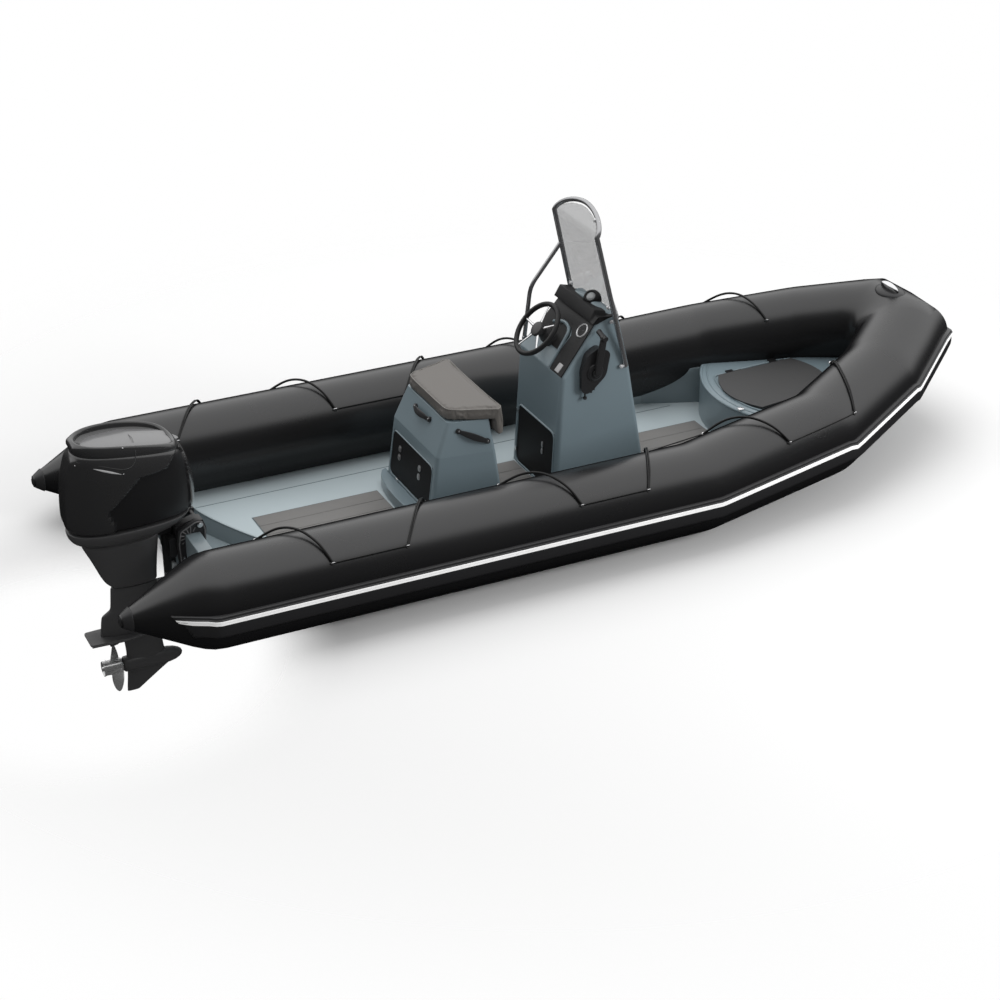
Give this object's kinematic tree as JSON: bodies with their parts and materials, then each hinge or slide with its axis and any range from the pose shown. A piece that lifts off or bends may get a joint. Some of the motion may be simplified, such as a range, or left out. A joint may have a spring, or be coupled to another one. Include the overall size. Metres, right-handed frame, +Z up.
{
  "type": "rigid inflatable boat with outboard motor",
  "caption": "Open inflatable boat with a rigid V hull, black buoyancy tubes, helm console with screen and wheel, bolster seat, bow locker and tilting, steering outboard.",
  "frame": {"origin": "on the centreline, amidships, at the waterline", "axes": "+X towards the bow, +Y to port, +Z up"},
  "size_m": [5.8356, 2.3686, 2.5995],
  "materials": {
    "tube_fabric": "satin coated fabric",
    "strake_rubber": "satin",
    "stripe_pale": "satin",
    "hull_gelcoat": "gloss gelcoat",
    "deck_gelcoat": "semi-gloss gelcoat",
    "console_gelcoat": "semi-gloss gelcoat",
    "deck_pad": "matt non-slip",
    "lid_grey": "matt",
    "hatch_black": "matt",
    "cushion_vinyl": "matt vinyl",
    "black_plastic": "fine grain",
    "black_cap": "satin",
    "screen_tint": "tinted acrylic",
    "stainless": "polished",
    "cowl_paint": "gloss black",
    "motor_paint": "satin black",
    "propeller_steel": "polished",
    "engine_iron": "rough",
    "rope_black": "braided"
  },
  "bodies": {
    "boat": {"hull": "hull_gelcoat", "transom": "hull_gelcoat", "deck": "deck_gelcoat", "motor_well": "console_gelcoat", "deck_pads": "deck_pad", "tube_port": "tube_fabric", "tube_starboard": "tube_fabric", "tube_nose": "tube_fabric", "cone_caps": "black_cap", "lifeline_port": "rope_black", "lifeline_starboard": "rope_black", "line_eyes": "stainless", "seat_handles": "black_plastic", "strake_port": "strake_rubber", "strake_starboard": "strake_rubber", "stripe_port": "stripe_pale", "stripe_starboard": "stripe_pale", "bow_locker": "console_gelcoat", "lid_hinges": "stainless", "bow_handle_base": "black_plastic", "bow_handle_grip": "stainless", "towing_eye": "stainless", "stern_eyes": "stainless", "console": "console_gelcoat", "console_hinges": "black_plastic", "dash_panel": "black_plastic", "gauge": "stainless", "dash_hood": "black_plastic", "compass": "black_plastic", "helm_hub": "black_plastic", "throttle_box": "black_plastic", "throttle_lever": "black_plastic", "screen_hoop": "stainless", "windscreen": "screen_tint", "seat_base": "console_gelcoat", "seat_hinges": "black_plastic", "seat_plinth": "console_gelcoat", "seat_cushion": "cushion_vinyl", "clamp_bracket": "motor_paint"},
    "motor_tilt": {"swivel_bracket": "motor_paint"},
    "motor": {"steering_yoke": "motor_paint", "cowl": "cowl_paint", "cowl_skirt": "motor_paint", "engine_block": "engine_iron", "midsection": "motor_paint", "gearcase": "motor_paint", "ventilation_plate": "motor_paint"},
    "propeller": {"propeller": "propeller_steel"},
    "helm": {"steering_wheel": "black_plastic"},
    "locker_lid": {"bow_locker_lid": "lid_grey"},
    "console_hatch": {"console_door": "hatch_black"},
    "seat_hatch": {"seat_door": "hatch_black"}
  },
  "joints": [
    {"name": "motor_tilt", "type": "hinge", "parent": "boat", "child": "motor_tilt", "pos_m": [-2.2, 0, 0.333], "axis": [0, 1, 0], "range_deg": [0, 65]},
    {"name": "motor_steer", "type": "hinge", "parent": "motor_tilt", "child": "motor", "pos_m": [-2.37, 0, 0.085], "axis": [0, 0, 1], "range_deg": [-30, 30]},
    {"name": "propeller_spin", "type": "hinge", "parent": "motor", "child": "propeller", "pos_m": [-2.73, 0, -0.552], "axis": [1, 0, 0], "continuous": true},
    {"name": "steering_wheel", "type": "hinge", "parent": "boat", "child": "helm", "pos_m": [0.035, 0.05, 1.05], "axis": [0.7542, 0, -0.6566], "range_deg": [-540, 540]},
    {"name": "bow_locker_lid", "type": "hinge", "parent": "boat", "child": "locker_lid", "pos_m": [1.7508, 0.26255, 0.3768], "axis": [-0.9969, 0.0559, -0.0548], "range_deg": [0, 75]},
    {"name": "console_door", "type": "hinge", "parent": "boat", "child": "console_hatch", "pos_m": [-0.01303, 0.2345, 0.16], "axis": [-0.0528, 0, -0.9986], "range_deg": [0, 50]},
    {"name": "seat_door", "type": "hinge", "parent": "boat", "child": "seat_hatch", "pos_m": [-0.85362, 0, 0.1775], "axis": [0, -1, 0], "range_deg": [0, 90]}
  ],
  "couplings": [
    {"joint": "steering_wheel", "follows": "motor_steer", "ratio": 18}
  ]
}
